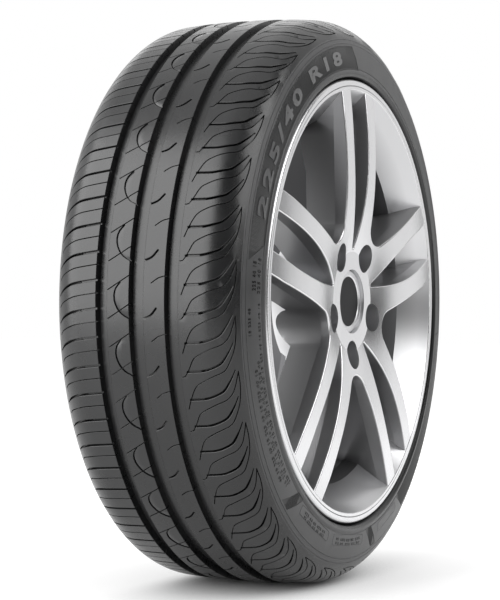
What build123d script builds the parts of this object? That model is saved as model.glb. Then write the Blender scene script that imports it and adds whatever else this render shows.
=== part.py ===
from build123d import *
import os
from math import cos, hypot, radians, sin, tan

# Low-profile road tyre fitted on a cast alloy wheel with five pairs of spokes.
# The axle lies along Y, the outer face looks towards -Y and +Z is up.
# The origin is on the axle, midway between the two rim flanges.

# Rim, an 18 inch drop-centre rim with 8 inches between its flanges
RIM_HALF = 101.6
SEAT_R = 231.0
SEAT_TAPER = 5.0
SEAT_LEN = 21.0
SEAT_CORNER = 6.5
FLANGE_H = 17.3
FLANGE_R = SEAT_R + FLANGE_H
FLANGE_T = 9.8
FLANGE_ROUND = 5.8
FLANGE_EDGE = 3.6
LIP_H = 6.0
LIP_R = SEAT_R + LIP_H
LIP_EDGE = 1.2
LIP_GROOVE_H = 4.0
LIP_GROOVE_W = 1.2
LIP_GROOVE_DEPTH = 0.8
WELL_DEPTH = 24.0
WELL_R = SEAT_R - WELL_DEPTH
WELL_SLOPE = 18.6
WELL_W = 42.0
WELL_ROUND = 8.0
BARREL_DROP = 9.5
BARREL_R = SEAT_R - BARREL_DROP
BARREL_SLOPE = 20.0
BARREL_RISE = 8.6
RIM_WALL = 5.8
LEDGE_DEPTH = 31.0
LEDGE_STEP = 4.5

# Tyre outline, as half widths, radii and drops from the top of the tread
TREAD_H = 87.6
TREAD_R = SEAT_R + TREAD_H
SIDE_OVERHANG = 10.0
SECTION_HALF = RIM_HALF + SIDE_OVERHANG
SHOULDER_IN = 10.1
SHOULDER_HALF = SECTION_HALF - SHOULDER_IN
SHOULDER_DROP = 20.0
CROWN_IN = 31.5
CROWN_HALF = SHOULDER_HALF - CROWN_IN
CROWN_DROP = 3.0
RIB_HALF = 40.0
RIB_DROP = 0.6
SIDEWALL_BULGE = 2.4
RIDGE_RISE = 10.7
RIDGE_R = FLANGE_R + RIDGE_RISE
RIDGE_W = 7.5
RIDGE_PROUD = 1.4

# Tyre casing
TREAD_WALL = 17.0
SIDE_WALL = 9.0
BEAD_W = 20.0
BEAD_H = 17.0
HEEL_R = 7.5
BEAD_CLEAR = 0.3
FLANGE_CLEAR = 1.0

# Circumferential grooves, from the inner side to the outer side
GROOVE_DEPTH = 7.5
GROOVE_DRAFT = 9.0
INNER_GROOVE_Y = 41.2
INNER_GROOVE_W = 13.3
MIDDLE_GROOVE_Y = 1.1
MIDDLE_GROOVE_W = 16.3
OUTER_GROOVE_Y = -38.3
OUTER_GROOVE_W = 14.7

# Lateral grooves: the pattern repeats every second pitch
UNITS = 34
LATERAL_W = 2.4
LATERAL_DEPTH = 6.5
LATERAL_TIE_DEPTH = 3.2
LATERAL_TIE_Y = CROWN_HALF - 1.0
LATERAL_TIP_Y = SHOULDER_HALF - 3.5
SIPE_W = 1.0
SIPE_DEPTH = 5.0
NOTCH_W = 1.8
NOTCH_END_Y = -21.6

# Spokes, in pairs with a pointed slot in each pair and a wide window between pairs
PAIRS = 5
CROWN_PROUD = 5.0
CROWN_Y = -RIM_HALF - FLANGE_T - CROWN_PROUD
CROWN_R = 150.0
PAIR_HALF_HUB = 39.3
PAIR_HALF_RIM = 46.0
PAIR_FLARE_R = WELL_R - 2.0
SLOT_TIP_R = 58.0
SLOT_TIP_HALF = 2.6
SLOT_HALF = 22.0
SLOT_FLARE_R = WELL_R - 11.0
CREASE_DEPTH = 15.4
CREASE_Y = CROWN_Y + CREASE_DEPTH
FRONT_DRAFT = 5.0
BACK_DRAFT = 3.0
SPOKE_T = 50.4
SPOKE_BACK_Y = CROWN_Y + SPOKE_T
SPOKE_ROOT_W = 8.0
SPOKE_ROUND = 1.6
RELIEF_W = 11.0
RELIEF_DEPTH = 27.0

# Hub, bore, bolt pockets and cap seat
HUB_DISH = 11.4
HUB_FRONT_Y = CROWN_Y + HUB_DISH
HUB_FRONT_R = 56.0
HUB_T = 65.0
PAD_Y = HUB_FRONT_Y + HUB_T
PAD_SLOPE = 20.0
BORE_R = 36.3
BORE_DEPTH = 34.0
BOLT_CIRCLE = 120.0
BOLT_HOLE_R = 7.25
BOLT_POCKET_R = 16.0
BOLT_LAND = 7.0
BOLT_GRIP = 22.0
BOLT_SEAT_Y = PAD_Y - BOLT_GRIP
BOLT_SEAT_R = 11.0
PAD_R = BOLT_CIRCLE / 2 + BOLT_POCKET_R + 1.0
WINDOW_APEX_R = BOLT_CIRCLE / 2 + BOLT_POCKET_R + BOLT_LAND
CAP_SEAT_R = 36.0
CAP_SEAT_DEPTH = 8.5
CAP_SEAT_Y = HUB_FRONT_Y + CAP_SEAT_DEPTH
CAP_BORE_R = 32.5
CAP_BAY_R = 34.8
CAP_BAY_CLEAR = 1.7

# Centre cap
CAP_CLEAR = 0.3
CAP_T = 4.6
CAP_RING_W = 7.8
CAP_CHAMFER = 1.6
DISC_RECESS = 0.7
DISC_T = 1.2
CAP_WEB = 1.8
SKIRT_T = 2.2
LEGS = 6
LEG_GAP_W = 9.0
HOOK_PROUD = 1.3
HOOK_L = 4.0
WIRE_R = 0.8

# Snap-in valve, measured along its own axis from its seat on the rim
VALVE_ANGLE = 198.0
VALVE_HOLE_R = 5.75
VALVE_SEAT_T = 5.0
VALVE_SEAT_CUT = 1.0
VALVE_POCKET_R = 9.4
VALVE_BULB_R = 8.2
VALVE_BULB_L = 8.0
VALVE_COLLAR_R = 7.6
VALVE_COLLAR_L = 3.0
VALVE_NECK_R = 5.4
VALVE_RUBBER_L = 17.0
STEM_R = 3.85
STEM_BORE_R = 2.4
STEM_L = 27.0
CORE_L = 18.0
CORE_PIN_R = 0.9
VALVE_CAP_R = 5.2
VALVE_CAP_GAP = 0.3
VALVE_CAP_END = 1.5

# Values that follow from the sizes above
pitches = 2 * UNITS
pair_step = 360 / PAIRS
lip_y = RIM_HALF + FLANGE_T
toe_y = RIM_HALF - SEAT_LEN
well_front_y = WELL_SLOPE - toe_y
well_back_y = well_front_y + WELL_W
barrel_front_y = well_back_y + BARREL_SLOPE
barrel_back_y = toe_y - BARREL_RISE
spoke_root_y = well_front_y + SPOKE_ROOT_W
lip_groove_r = LIP_R + LIP_GROOVE_H
barrel_in_r = BARREL_R - RIM_WALL
well_in_r = WELL_R - RIM_WALL
ledge_y = LEDGE_DEPTH - lip_y
ledge_r = well_in_r + LEDGE_STEP
bore_end_y = PAD_Y - BORE_DEPTH
hook_y = bore_end_y - CAP_BAY_CLEAR - HOOK_L
cap_lip_y = hook_y - CAP_CLEAR
shoulder_r = TREAD_R - SHOULDER_DROP


# Turned copies about the axle, counter-clockwise as seen from the outer face
def turns(count, start=0.0):
    return [Location((0, 0, 0), (0, -start - 360 * k / count, 0)) for k in range(count)]


# Radius of the bead seat at a distance from the middle of the rim
def seat_r(y):
    return SEAT_R - (RIM_HALF - abs(y)) * tan(radians(SEAT_TAPER))


# Radius of the tread at a distance from its middle, as far as the shoulder
def crown_r(y):
    if abs(y) < RIB_HALF:
        return TREAD_R - RIB_DROP * abs(y) / RIB_HALF
    share = (abs(y) - RIB_HALF) / (CROWN_HALF - RIB_HALF)
    return TREAD_R - RIB_DROP - (CROWN_DROP - RIB_DROP) * share


# Outline of a groove along a bent path, with its last end narrowed to a share of the width
def groove_outline(path, width, tip=1.0):
    left, right = [], []
    for i, (y, t) in enumerate(path):
        before = path[max(i - 1, 0)]
        after = path[min(i + 1, len(path) - 1)]
        run = hypot(after[0] - before[0], after[1] - before[1])
        half = width / 2 * (tip if i == len(path) - 1 else 1.0)
        side_y = (before[1] - after[1]) / run * half
        side_t = (after[0] - before[0]) / run * half
        left.append((y + side_y, t + side_t))
        right.append((y - side_y, t - side_t))
    return left + right[::-1]


# Section through the tread on the -X side, with x along Y and y outwards from the axle
tread_section = Plane(origin=(0, 0, 0), x_dir=(0, 1, 0), z_dir=(0, 0, 1))

# Plane above the tread on the -X side, with x along Y and y round the tread
tread_plane = Plane(origin=(-TREAD_R - 3, 0, 0), x_dir=(0, 1, 0), z_dir=(-1, 0, 0))

# Tyre blank: half of the section, mirrored and turned round the axle
with BuildPart() as blank:
    with BuildSketch(Plane.YZ):
        with BuildLine():
            rib_end = (RIB_HALF, TREAD_R - RIB_DROP)
            crown_end = (CROWN_HALF, TREAD_R - CROWN_DROP)
            shoulder_end = (SHOULDER_HALF, shoulder_r)
            ridge_top = (SECTION_HALF, RIDGE_R)
            ridge_mid = (SECTION_HALF + RIDGE_PROUD, RIDGE_R - RIDGE_W / 2)
            ridge_foot = (SECTION_HALF, RIDGE_R - RIDGE_W)
            flange_foot = (RIM_HALF, FLANGE_R - FLANGE_ROUND)
            flange_top = (RIM_HALF + FLANGE_ROUND * 0.6, FLANGE_R + FLANGE_CLEAR * 0.4)
            heel_top = (RIM_HALF, SEAT_R + HEEL_R)
            heel_end = (RIM_HALF - HEEL_R, seat_r(RIM_HALF - HEEL_R) + BEAD_CLEAR)
            toe = (RIM_HALF - BEAD_W, seat_r(RIM_HALF - BEAD_W) + BEAD_CLEAR)
            Line((0, TREAD_R), rib_end)
            rib_slope = Line(rib_end, crown_end)
            TangentArc(crown_end, shoulder_end, tangent=rib_slope % 1)
            SagittaArc(shoulder_end, ridge_top, SIDEWALL_BULGE)
            ThreePointArc(ridge_top, ridge_mid, ridge_foot)
            Line(ridge_foot, flange_top)
            TangentArc(flange_foot, flange_top, tangent=(0, 1))
            Line(flange_foot, heel_top)
            TangentArc(heel_top, heel_end, tangent=(0, -1))
            Line(heel_end, toe)
            FilletPolyline(
                toe,
                (RIM_HALF - BEAD_W * 0.6, toe[1] + BEAD_H),
                (SECTION_HALF - SIDE_WALL, RIDGE_R + RIDGE_W),
                (SECTION_HALF - SIDE_WALL, shoulder_r - TREAD_WALL),
                (SHOULDER_HALF - TREAD_WALL, TREAD_R - CROWN_DROP - TREAD_WALL),
                (0, TREAD_R - TREAD_WALL),
                radius=[0, 20, 10, 20],
            )
            Line((0, TREAD_R - TREAD_WALL), (0, TREAD_R))
        make_face()
        mirror(about=Plane.YZ)
    revolve(axis=Axis.Y)
    with BuildSketch(Plane.YZ):
        for groove_y, groove_w in (
            (INNER_GROOVE_Y, INNER_GROOVE_W),
            (MIDDLE_GROOVE_Y, MIDDLE_GROOVE_W),
            (OUTER_GROOVE_Y, OUTER_GROOVE_W),
        ):
            top_r = crown_r(groove_y)
            rise = GROOVE_DEPTH * tan(radians(GROOVE_DRAFT))
            with BuildLine():
                Polyline(
                    (groove_y - groove_w / 2 - rise, top_r + GROOVE_DEPTH),
                    (groove_y - groove_w / 2 + rise, top_r - GROOVE_DEPTH),
                    (groove_y + groove_w / 2 - rise, top_r - GROOVE_DEPTH),
                    (groove_y + groove_w / 2 + rise, top_r + GROOVE_DEPTH),
                    close=True,
                )
            make_face()
    revolve(axis=Axis.Y, mode=Mode.SUBTRACT)

# Shoulder grooves of one pitch: shallow beside the rib, deep and swept at the shoulder
with BuildPart() as shoulder_cut:
    tip_run = LATERAL_TIP_Y - LATERAL_TIE_Y
    with BuildSketch(tread_plane):
        with BuildLine():
            Polyline(
                *groove_outline(
                    [
                        (INNER_GROOVE_Y + INNER_GROOVE_W / 2 - 3, -21.3),
                        (LATERAL_TIE_Y, -18.4),
                        (LATERAL_TIE_Y + tip_run / 2, -13.2),
                        (LATERAL_TIP_Y, -3.5),
                    ],
                    LATERAL_W,
                    tip=0.5,
                ),
                close=True,
            )
        make_face()
        with BuildLine():
            Polyline(
                *groove_outline(
                    [
                        (OUTER_GROOVE_Y - OUTER_GROOVE_W, 12.9),
                        (-LATERAL_TIE_Y, 12.0),
                        (-LATERAL_TIE_Y - tip_run * 0.45, 8.3),
                        (-LATERAL_TIE_Y - tip_run * 0.75, 2.0),
                        (-LATERAL_TIP_Y, -11.6),
                    ],
                    LATERAL_W,
                    tip=0.4,
                ),
                close=True,
            )
        make_face()
    extrude(amount=-SHOULDER_DROP * 2)
    with BuildSketch(tread_section):
        with BuildLine():
            Polyline(
                (0, TREAD_R - LATERAL_TIE_DEPTH),
                (LATERAL_TIE_Y, crown_r(LATERAL_TIE_Y) - LATERAL_TIE_DEPTH),
                (LATERAL_TIE_Y + 1, crown_r(LATERAL_TIE_Y) - LATERAL_DEPTH),
                (SHOULDER_HALF, shoulder_r - LATERAL_DEPTH / 4),
                (SHOULDER_HALF * 2, shoulder_r - LATERAL_DEPTH / 4),
                (SHOULDER_HALF * 2, TREAD_R + 2),
                (0, TREAD_R + 2),
                close=True,
            )
        make_face()
        mirror(about=Plane.YZ)
    extrude(amount=SHOULDER_HALF, both=True, mode=Mode.INTERSECT)

# Slanting sipe across the inner rib, one in each pitch
with BuildPart() as rib_cut:
    with BuildSketch(tread_plane):
        with BuildLine():
            Polyline(
                *groove_outline(
                    [
                        (INNER_GROOVE_Y - INNER_GROOVE_W / 2 + 2, -8.5),
                        (MIDDLE_GROOVE_Y + MIDDLE_GROOVE_W / 2 - 2, -26.4),
                    ],
                    SIPE_W,
                ),
                close=True,
            )
        make_face()
    extrude(amount=-3 - SIPE_DEPTH)

# Short notch in the outer rib, one in each unit
with BuildPart() as notch_cut:
    with BuildSketch(tread_plane):
        with BuildLine():
            Polyline(
                *groove_outline(
                    [
                        (MIDDLE_GROOVE_Y - MIDDLE_GROOVE_W / 2 + 2, 18.6),
                        (NOTCH_END_Y + 6.6, 15.0),
                        (NOTCH_END_Y, 7.8),
                    ],
                    NOTCH_W,
                ),
                close=True,
            )
        make_face()
    extrude(amount=-3 - SIPE_DEPTH)

with BuildPart() as tyre:
    add(blank.part)
    with Locations(*turns(pitches)):
        add(shoulder_cut.part, mode=Mode.SUBTRACT, clean=False)
        add(rib_cut.part, mode=Mode.SUBTRACT, clean=False)
    with Locations(*turns(UNITS)):
        add(notch_cut.part, mode=Mode.SUBTRACT, clean=False)
tyre.part.label = "tyre"

# Inset of a window's wall from its outline on the front, widest spoke at the crease
crease_inset = (CREASE_Y - CROWN_Y) * tan(radians(FRONT_DRAFT))
front_y = CROWN_Y - 15
back_y = PAD_Y + 15
window_end_r = FLANGE_R - FLANGE_ROUND
window_levels = (
    (front_y, crease_inset - (CREASE_Y - front_y) * tan(radians(FRONT_DRAFT))),
    (CREASE_Y, crease_inset),
    (back_y, crease_inset - (back_y - CREASE_Y) * tan(radians(BACK_DRAFT))),
)


# Point on the edge of a spoke pair, seen from the middle line of the window beside it
def beside_window(half, along):
    turn = radians(pair_step / 2)
    return (half * cos(turn) - along * sin(turn), half * sin(turn) + along * cos(turn))


# Slot inside one pair of spokes, whose sides run smoothly into a small round tip at the hub
with BuildPart() as slot_cut:
    for level_y, inset in window_levels:
        with BuildSketch(Plane.XZ.offset(-level_y)):
            tip_half = SLOT_TIP_HALF - inset / 2
            half = SLOT_HALF - inset
            tip_r = SLOT_TIP_R + inset
            run = SLOT_FLARE_R - tip_r - tip_half
            side_r = (half**2 + run**2 - tip_half**2) / (2 * (half - tip_half))
            share = tip_half / (side_r - tip_half)
            meet = (share * (side_r - half), tip_r + tip_half - share * run)
            with BuildLine():
                ThreePointArc((-meet[0], meet[1]), (0, tip_r), meet)
                TangentArc((half, SLOT_FLARE_R), meet, tangent=(0, -1))
                TangentArc((-half, SLOT_FLARE_R), (-meet[0], meet[1]), tangent=(0, -1))
                Polyline(
                    (half, SLOT_FLARE_R),
                    (half, window_end_r),
                    (-half, window_end_r),
                    (-half, SLOT_FLARE_R),
                )
            make_face()
    loft(ruled=True)

# Wide window between two pairs of spokes, rounded at the hub
with BuildPart() as window_cut:
    for level_y, inset in window_levels:
        with BuildSketch(Plane.XZ.offset(-level_y)):
            turn = radians(pair_step / 2)
            hub_half = PAIR_HALF_HUB + inset
            rim_half = PAIR_HALF_RIM + inset
            apex_r = WINDOW_APEX_R + inset
            apex_round = (apex_r - hub_half / sin(turn)) / (1 / sin(turn) - 1)
            start_r = (hub_half + apex_round) / tan(turn)
            start = beside_window(hub_half, start_r)
            flare = beside_window(rim_half, PAIR_FLARE_R)
            end = beside_window(rim_half, window_end_r)
            with BuildLine():
                ThreePointArc(start, (0, apex_r), (-start[0], start[1]))
                Polyline((-start[0], start[1]), (-flare[0], flare[1]), (-end[0], end[1]))
                ThreePointArc((-end[0], end[1]), (0, hypot(*end)), end)
                Polyline(end, flare, start)
            make_face()
    loft(ruled=True)

# Pockets in the back of one pair of spokes, each along the middle of its spoke
with BuildPart() as relief_cut:
    with BuildSketch(Plane.XZ.offset(RELIEF_DEPTH - SPOKE_BACK_Y)):
        relief_in = ((SLOT_HALF * 0.75 + PAIR_HALF_HUB) / 2, (SLOT_TIP_R + SLOT_FLARE_R) / 2)
        relief_out = ((SLOT_HALF + PAIR_HALF_RIM) / 2, well_in_r - RELIEF_W)
        relief_mid = ((relief_in[0] + relief_out[0]) / 2, (relief_in[1] + relief_out[1]) / 2)
        SlotCenterPoint(relief_mid, relief_out, RELIEF_W)
        mirror(about=Plane.YZ)
    extrude(amount=-2 * RELIEF_DEPTH)

# Pocket, seat and hole for one wheel bolt
bolt_r = BOLT_CIRCLE / 2
with BuildPart() as bolt_cut:
    with BuildSketch(Plane.YZ):
        with BuildLine():
            Polyline(
                (front_y, bolt_r),
                (front_y, bolt_r + BOLT_POCKET_R),
                (BOLT_SEAT_Y, bolt_r + BOLT_POCKET_R),
                (BOLT_SEAT_Y, bolt_r + BOLT_SEAT_R),
                (BOLT_SEAT_Y + (BOLT_SEAT_R - BOLT_HOLE_R) * 1.7, bolt_r + BOLT_HOLE_R),
                (back_y, bolt_r + BOLT_HOLE_R),
                (back_y, bolt_r),
                close=True,
            )
        make_face()
    revolve(axis=Axis((0, 0, bolt_r), (0, 1, 0)))

# Valve place: the middle of the wall between the rim's ledge and its well
wall_run = well_front_y - ledge_y
wall_fall = ledge_r - well_in_r
wall_len = hypot(wall_run, wall_fall)
valve_out = Vector(cos(radians(VALVE_ANGLE)), 0, sin(radians(VALVE_ANGLE)))
valve_dir = valve_out * (-wall_run / wall_len) + Vector(0, -wall_fall / wall_len, 0)
valve_wall = valve_out * ((ledge_r + well_in_r) / 2) + Vector(0, (ledge_y + well_front_y) / 2, 0)
valve_at = valve_wall - valve_dir * VALVE_SEAT_CUT
valve_side = Vector(0, 1, 0).cross(valve_out)
valve_section = Plane(origin=valve_at, x_dir=valve_side, z_dir=valve_side.cross(valve_dir))
valve_axis = Axis(valve_at, valve_dir)

# Cast wheel: a turned disc is cut into spokes, then joined to the rim
with BuildPart() as alloy_wheel:
    with BuildSketch(Plane.YZ):
        with BuildLine():
            crown_top = (CROWN_Y, CROWN_R)
            hub_front = (HUB_FRONT_Y, HUB_FRONT_R)
            lip_front = (-lip_y + 0.5, LIP_R + LIP_EDGE)
            TangentArc(crown_top, hub_front, tangent=(0, -1))
            TangentArc(crown_top, lip_front, tangent=(0, 1))
            Polyline(
                lip_front,
                (-lip_y + 3, LIP_R + 4),
                (ledge_y, ledge_r + 4),
                (well_front_y, well_in_r + 3),
                (spoke_root_y, well_in_r + 3),
                (SPOKE_BACK_Y, CROWN_R),
                (SPOKE_BACK_Y, PAD_R + PAD_SLOPE),
                (PAD_Y, PAD_R),
                (PAD_Y, BORE_R),
                (bore_end_y, BORE_R),
                (bore_end_y, CAP_BAY_R),
                (cap_lip_y, CAP_BAY_R),
                (cap_lip_y, CAP_BORE_R),
                (CAP_SEAT_Y, CAP_BORE_R),
                (CAP_SEAT_Y, CAP_SEAT_R),
                (HUB_FRONT_Y, CAP_SEAT_R),
                hub_front,
            )
        make_face()
    revolve(axis=Axis.Y)
    with Locations(*turns(PAIRS)):
        add(slot_cut.part, mode=Mode.SUBTRACT)
        add(relief_cut.part, mode=Mode.SUBTRACT)
    with Locations(*turns(PAIRS, pair_step / 2)):
        add(window_cut.part, mode=Mode.SUBTRACT)
    crown_faces = alloy_wheel.faces().filter_by(GeomType.REVOLUTION)
    fillet(crown_faces.edges().filter_by(GeomType.CIRCLE, reverse=True), SPOKE_ROUND)
    with Locations(*turns(PAIRS, pair_step / 2)):
        add(bolt_cut.part, mode=Mode.SUBTRACT)
    with BuildSketch(Plane.YZ):
        with BuildLine():
            FilletPolyline(
                (-lip_y, LIP_R),
                (-lip_y, lip_groove_r - LIP_GROOVE_W / 2),
                (LIP_GROOVE_DEPTH - lip_y, lip_groove_r),
                (-lip_y, lip_groove_r + LIP_GROOVE_W / 2),
                (-lip_y, FLANGE_R),
                (-RIM_HALF, FLANGE_R),
                (-RIM_HALF, SEAT_R),
                (-toe_y, seat_r(toe_y)),
                (well_front_y, WELL_R),
                (well_back_y, WELL_R),
                (barrel_front_y, BARREL_R),
                (barrel_back_y, BARREL_R),
                (toe_y, seat_r(toe_y)),
                (RIM_HALF, SEAT_R),
                (RIM_HALF, FLANGE_R),
                (lip_y, FLANGE_R),
                (lip_y, LIP_R),
                (RIM_HALF, SEAT_R - RIM_WALL),
                (barrel_back_y, barrel_in_r),
                (barrel_front_y, barrel_in_r),
                (well_back_y, well_in_r),
                (well_front_y, well_in_r),
                (ledge_y, ledge_r),
                radius=[
                    LIP_EDGE,
                    0,
                    0,
                    0,
                    FLANGE_EDGE,
                    FLANGE_ROUND,
                    SEAT_CORNER,
                    0,
                    WELL_ROUND,
                    WELL_ROUND,
                    0,
                    0,
                    0,
                    SEAT_CORNER,
                    FLANGE_ROUND,
                    FLANGE_EDGE,
                    LIP_EDGE,
                    WELL_ROUND,
                    WELL_ROUND,
                    WELL_ROUND,
                    WELL_ROUND,
                    0,
                    0,
                ],
                close=True,
            )
        make_face()
    revolve(axis=Axis.Y)
    with BuildSketch(valve_section):
        with BuildLine():
            Polyline(
                (0, VALVE_COLLAR_L * 3),
                (VALVE_COLLAR_R + 1, VALVE_COLLAR_L * 3),
                (VALVE_COLLAR_R + 1, 0),
                (VALVE_HOLE_R, 0),
                (VALVE_HOLE_R, -VALVE_SEAT_T),
                (VALVE_POCKET_R, -VALVE_SEAT_T),
                (VALVE_POCKET_R, well_in_r - SEAT_R),
                (0, well_in_r - SEAT_R),
                close=True,
            )
        make_face()
    revolve(axis=valve_axis, mode=Mode.SUBTRACT)
alloy_wheel.part.label = "alloy_wheel"

# Centre cap with its ring, web, clip legs and hooks
cap_r = CAP_SEAT_R - CAP_CLEAR
cap_front_y = CAP_SEAT_Y - CAP_T
disc_r = cap_r - CAP_RING_W
disc_back_y = cap_front_y + DISC_RECESS + DISC_T
skirt_r = CAP_BORE_R - CAP_CLEAR
with BuildPart() as centre_cap:
    with BuildSketch(Plane.YZ):
        with BuildLine():
            Polyline(
                (disc_back_y, 0),
                (disc_back_y, disc_r),
                (cap_front_y + CAP_CHAMFER / 2, disc_r),
                (cap_front_y, disc_r + CAP_CHAMFER),
                (cap_front_y, cap_r - CAP_CHAMFER),
                (cap_front_y + CAP_CHAMFER, cap_r),
                (CAP_SEAT_Y, cap_r),
                (CAP_SEAT_Y, skirt_r),
                (hook_y, skirt_r),
                (hook_y, skirt_r + HOOK_PROUD),
                (hook_y + HOOK_L, skirt_r - SKIRT_T / 2),
                (hook_y + HOOK_L, skirt_r - SKIRT_T),
                (disc_back_y + CAP_WEB, skirt_r - SKIRT_T),
                (disc_back_y + CAP_WEB, 0),
                close=True,
            )
        make_face()
    revolve(axis=Axis.Y)
    with BuildSketch(Plane.XZ.offset(-CAP_SEAT_Y - CAP_WEB)):
        with PolarLocations(skirt_r, LEGS):
            Rectangle(SKIRT_T * 4, LEG_GAP_W)
    extrude(amount=-2 * BORE_DEPTH, mode=Mode.SUBTRACT)
centre_cap.part.label = "centre_cap"

# Blank round plate let into the cap's face
with BuildPart() as cap_disc:
    with BuildSketch(Plane.XZ.offset(-disc_back_y)):
        Circle(disc_r)
    extrude(amount=DISC_T)
cap_disc.part.label = "cap_disc"

# Wire ring that spreads the clip legs
with BuildPart() as cap_spring_ring:
    with BuildSketch(Plane.YZ):
        with Locations((hook_y, skirt_r - SKIRT_T - WIRE_R)):
            Circle(WIRE_R)
    revolve(axis=Axis.Y)
cap_spring_ring.part.label = "cap_spring_ring"

# Rubber body of the valve, snapped into its hole
with BuildPart() as valve_rubber:
    with BuildSketch(valve_section):
        with BuildLine():
            Polyline(
                (STEM_R, -VALVE_SEAT_T - VALVE_BULB_L),
                (VALVE_HOLE_R, -VALVE_SEAT_T - VALVE_BULB_L),
                (VALVE_BULB_R, -VALVE_SEAT_T - VALVE_BULB_L / 3),
                (VALVE_BULB_R, -VALVE_SEAT_T),
                (VALVE_HOLE_R, -VALVE_SEAT_T),
                (VALVE_HOLE_R, 0),
                (VALVE_COLLAR_R, 0),
                (VALVE_COLLAR_R, VALVE_COLLAR_L),
                (VALVE_NECK_R, VALVE_RUBBER_L / 2),
                (VALVE_NECK_R, VALVE_RUBBER_L),
                (STEM_R, VALVE_RUBBER_L),
                close=True,
            )
        make_face()
    revolve(axis=valve_axis)
valve_rubber.part.label = "valve_rubber"

# Brass tube bonded into the rubber
with BuildPart() as valve_stem:
    with BuildSketch(valve_section):
        with BuildLine():
            Polyline(
                (STEM_BORE_R, -VALVE_SEAT_T - VALVE_BULB_L),
                (STEM_R, -VALVE_SEAT_T - VALVE_BULB_L),
                (STEM_R, STEM_L),
                (STEM_BORE_R, STEM_L),
                close=True,
            )
        make_face()
    revolve(axis=valve_axis)
valve_stem.part.label = "valve_stem"

# Screw-in core with its pin
with BuildPart() as valve_core:
    with BuildSketch(valve_section):
        with BuildLine():
            Polyline(
                (0, STEM_L - CORE_L),
                (STEM_BORE_R, STEM_L - CORE_L),
                (STEM_BORE_R, STEM_L - VALVE_CAP_END),
                (CORE_PIN_R, STEM_L - VALVE_CAP_END),
                (CORE_PIN_R, STEM_L),
                (0, STEM_L),
                close=True,
            )
        make_face()
    revolve(axis=valve_axis)
valve_core.part.label = "valve_core"

# Screw-on dust cap
with BuildPart() as valve_cap:
    with BuildSketch(valve_section):
        with BuildLine():
            Polyline(
                (0, STEM_L + VALVE_CAP_GAP),
                (STEM_R, STEM_L + VALVE_CAP_GAP),
                (STEM_R, VALVE_RUBBER_L + VALVE_CAP_GAP),
                (VALVE_CAP_R, VALVE_RUBBER_L + VALVE_CAP_GAP),
                (VALVE_CAP_R, STEM_L + VALVE_CAP_END - 0.8),
                (VALVE_CAP_R - 0.8, STEM_L + VALVE_CAP_END),
                (0, STEM_L + VALVE_CAP_END),
                close=True,
            )
        make_face()
    revolve(axis=valve_axis)
valve_cap.part.label = "valve_cap"

# Each piece goes into a file of its own
os.makedirs("parts", exist_ok=True)
export_step(tyre.part, "parts/tyre.step")
export_step(alloy_wheel.part, "parts/alloy_wheel.step")
export_step(centre_cap.part, "parts/centre_cap.step")
export_step(cap_disc.part, "parts/cap_disc.step")
export_step(cap_spring_ring.part, "parts/cap_spring_ring.step")
export_step(valve_rubber.part, "parts/valve_rubber.step")
export_step(valve_stem.part, "parts/valve_stem.step")
export_step(valve_core.part, "parts/valve_core.step")
export_step(valve_cap.part, "parts/valve_cap.step")
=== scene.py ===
from math import atan2, cos, pi, radians, sin, tan

import bmesh
import bpy
import numpy as np
from bpy.props import FloatProperty, FloatVectorProperty, IntProperty, PointerProperty, StringProperty
from mathutils import Matrix, Vector
from mathutils.geometry import delaunay_2d_cdt


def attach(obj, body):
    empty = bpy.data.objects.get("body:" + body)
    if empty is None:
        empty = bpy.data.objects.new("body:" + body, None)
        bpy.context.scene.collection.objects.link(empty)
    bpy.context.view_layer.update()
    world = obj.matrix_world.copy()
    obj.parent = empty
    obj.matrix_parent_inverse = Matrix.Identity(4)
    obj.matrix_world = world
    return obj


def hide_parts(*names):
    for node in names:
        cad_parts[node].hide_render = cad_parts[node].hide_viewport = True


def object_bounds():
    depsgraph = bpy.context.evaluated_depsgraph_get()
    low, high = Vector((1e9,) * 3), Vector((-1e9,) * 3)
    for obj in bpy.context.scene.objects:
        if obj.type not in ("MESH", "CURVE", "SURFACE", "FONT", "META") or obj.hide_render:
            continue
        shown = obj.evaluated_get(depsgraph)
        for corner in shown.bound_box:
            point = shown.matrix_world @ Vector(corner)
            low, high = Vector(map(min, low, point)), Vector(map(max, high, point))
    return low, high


bl_info = {
    "name": "Road Tyre on Alloy Wheel",
    "version": (1, 0, 0),
    "blender": (4, 5, 0),
    "location": "3D View > Sidebar > Tyre",
    "description": "Builds a low-profile tyre on its twin-spoke wheel, with tread, finishes and studio",
    "category": "Object",
}

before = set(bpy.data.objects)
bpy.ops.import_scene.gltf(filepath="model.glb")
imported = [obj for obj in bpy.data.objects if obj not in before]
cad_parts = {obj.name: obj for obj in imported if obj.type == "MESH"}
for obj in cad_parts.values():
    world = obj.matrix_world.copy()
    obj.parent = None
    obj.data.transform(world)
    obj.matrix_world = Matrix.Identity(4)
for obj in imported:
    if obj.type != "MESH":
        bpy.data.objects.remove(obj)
CAD_BOX = [list(corner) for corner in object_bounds()]

# Shapes are worked out in millimetres, and scaled to metres when their meshes are made
MM = 0.001

# Half of the tyre's section, as distance from the middle plane and radius
RIB_TOP = (0.0, 318.6)
RIB_EDGE = (40.0, 318.0)
CROWN_EDGE = (70.0, 315.6)
SHOULDER = (101.5, 298.6)
RIDGE_TOP = (111.6, 259.0)
RIDGE_MID = (113.0, 255.25)
RIDGE_FOOT = (111.6, 251.5)
FLANGE_TOP = (105.1, 248.7)
FLANGE_FOOT = (101.6, 242.5)
HEEL_TOP = (101.6, 238.5)
HEEL_END = (94.1, 230.65)
TOE = (81.6, 229.55)
BEAD_TOP = (89.6, 246.5)
CASING_SIDE = (102.6, 266.5)
CASING_SHOULDER = (100.0, 284.0)
CASING_CROWN = (84.5, 298.6)
CASING_TOP = (0.0, 301.6)
SIDEWALL_BULGE = 2.4

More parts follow.
